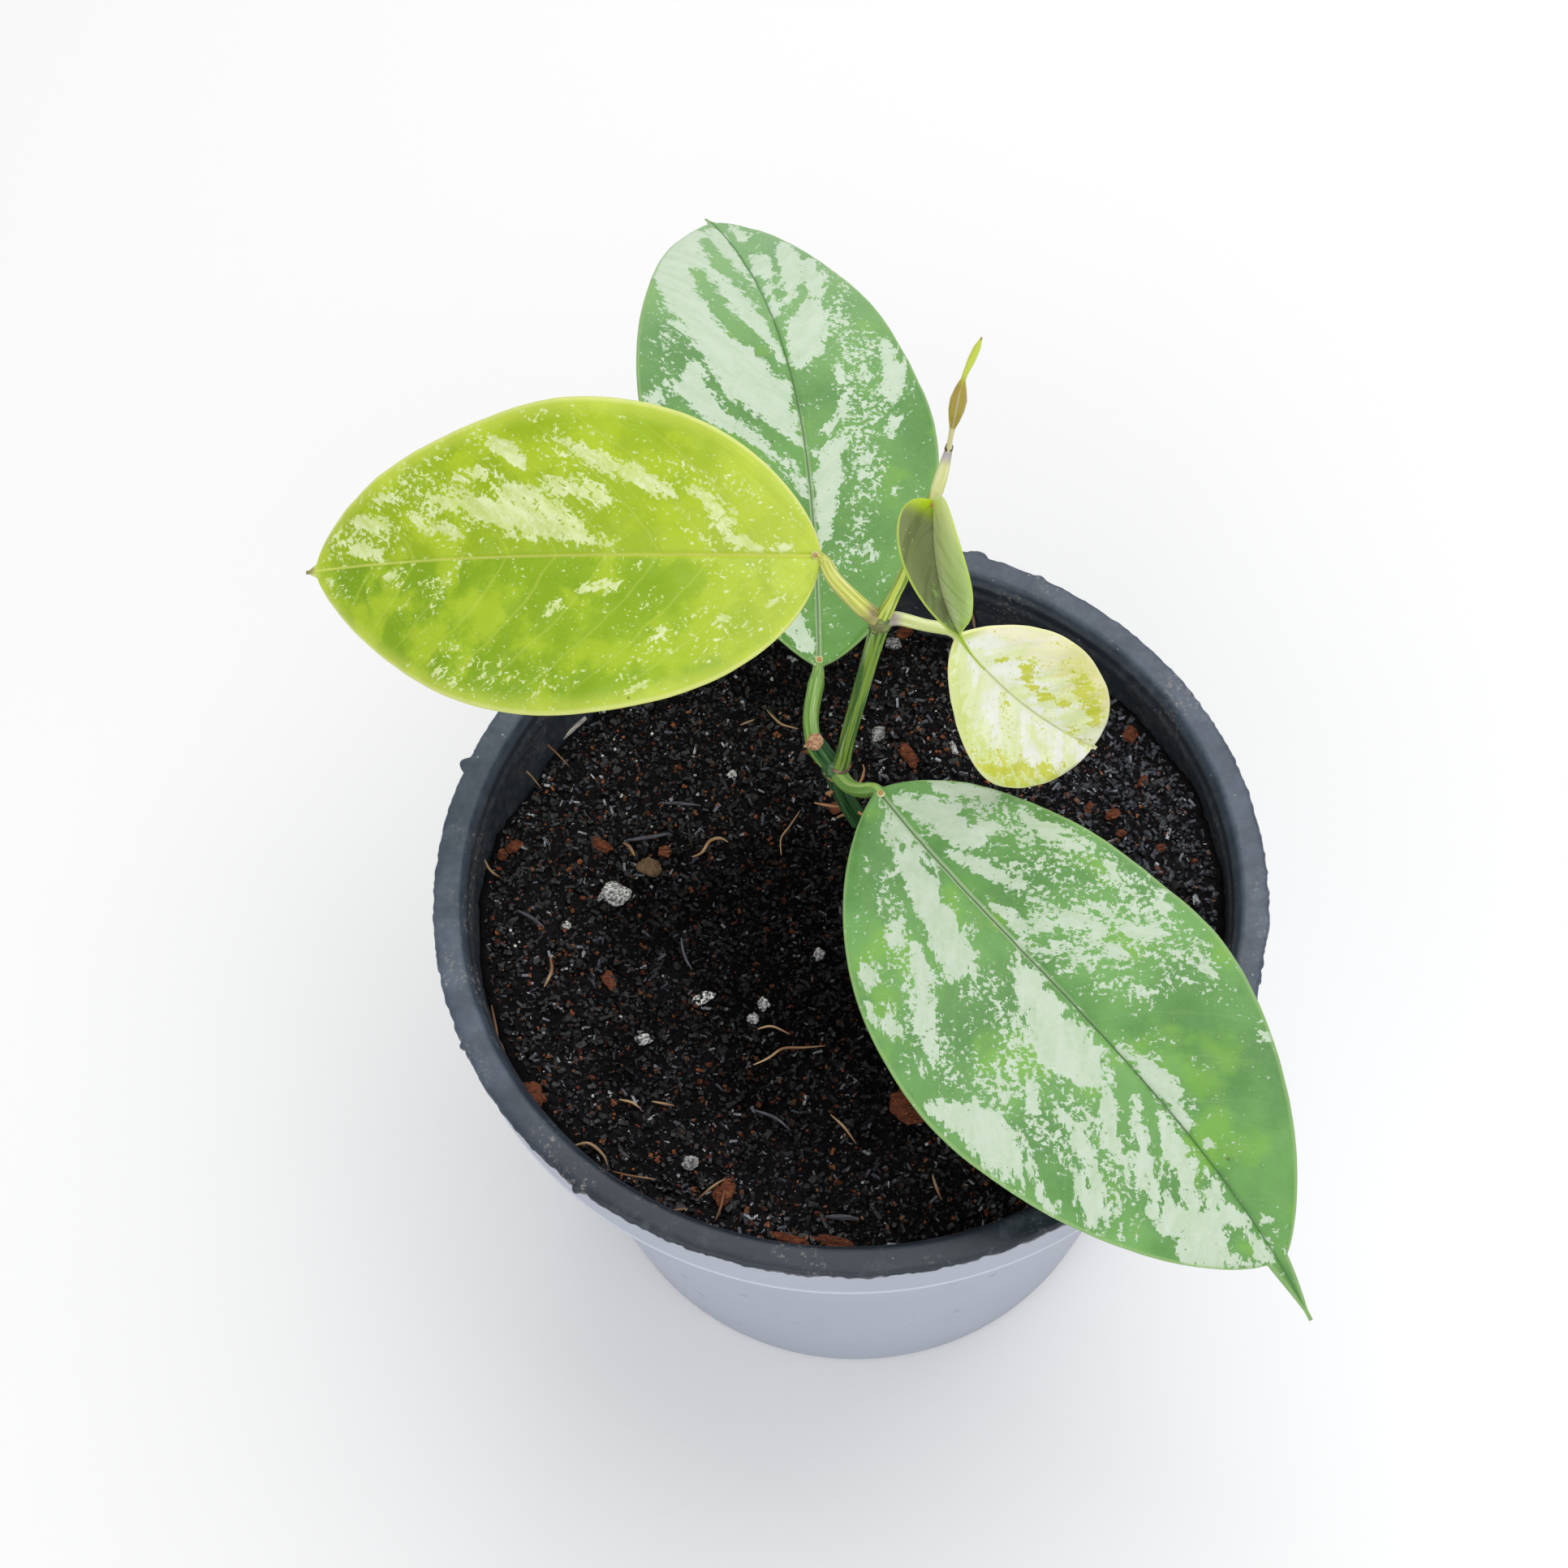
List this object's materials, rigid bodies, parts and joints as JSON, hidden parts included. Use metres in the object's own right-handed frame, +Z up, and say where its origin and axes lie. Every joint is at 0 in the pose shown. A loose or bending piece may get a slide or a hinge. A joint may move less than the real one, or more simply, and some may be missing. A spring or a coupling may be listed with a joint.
{
  "type": "potted hoya coriacea plant",
  "caption": "Rooted vine cutting with broad splashed leaves and a climbing side shoot, standing in a round tapered nursery pot of dark potting mix.",
  "frame": {"origin": "middle of the pot's flat base, on the surface it stands on", "axes": "+Z up along the pot's axis; the picture was taken from the -Y side, with +X to its right"},
  "size_m": [0.1696, 0.2422, 0.2386],
  "materials": {
    "pot_skin": "pale lavender grey moulded plastic, faint scuffs",
    "pot_lining": "slate black moulded plastic, satin, dusty",
    "potting_mix": "charred husk and coir crumbs, damp",
    "perlite": "rough porous white mineral grains",
    "bark_chip": "rust red bark and brick crumbs",
    "husk_sliver": "grey charred husk slivers",
    "plant_fibre": "dry tan root fibres",
    "old_stem": "dark green stem, matt with a tan cut end",
    "young_stem": "ridged green stem with purple brown nodes",
    "mature_leaf": "leathery green leaf with silver splashes, satin gloss",
    "lime_leaf": "yellow green leaf with pale splashes, satin gloss",
    "cream_leaf": "cream young leaf with olive yellow and tan tints",
    "olive_leaf": "glossy olive young leaf with yellow green margin",
    "bud_leaf": "olive brown unopened leaf"
  },
  "bodies": {
    "root": {"pot": "pot_skin", "potting_mix": "potting_mix", "stem_cutting": "old_stem", "side_shoot": "young_stem", "leaf_rear": "mature_leaf", "leaf_front": "mature_leaf", "leaf_left": "lime_leaf", "leaf_right": "cream_leaf", "leaf_folded": "olive_leaf", "bud_leaf_outer": "bud_leaf", "bud_leaf_inner": "bud_leaf"}
  },
  "joints": []
}
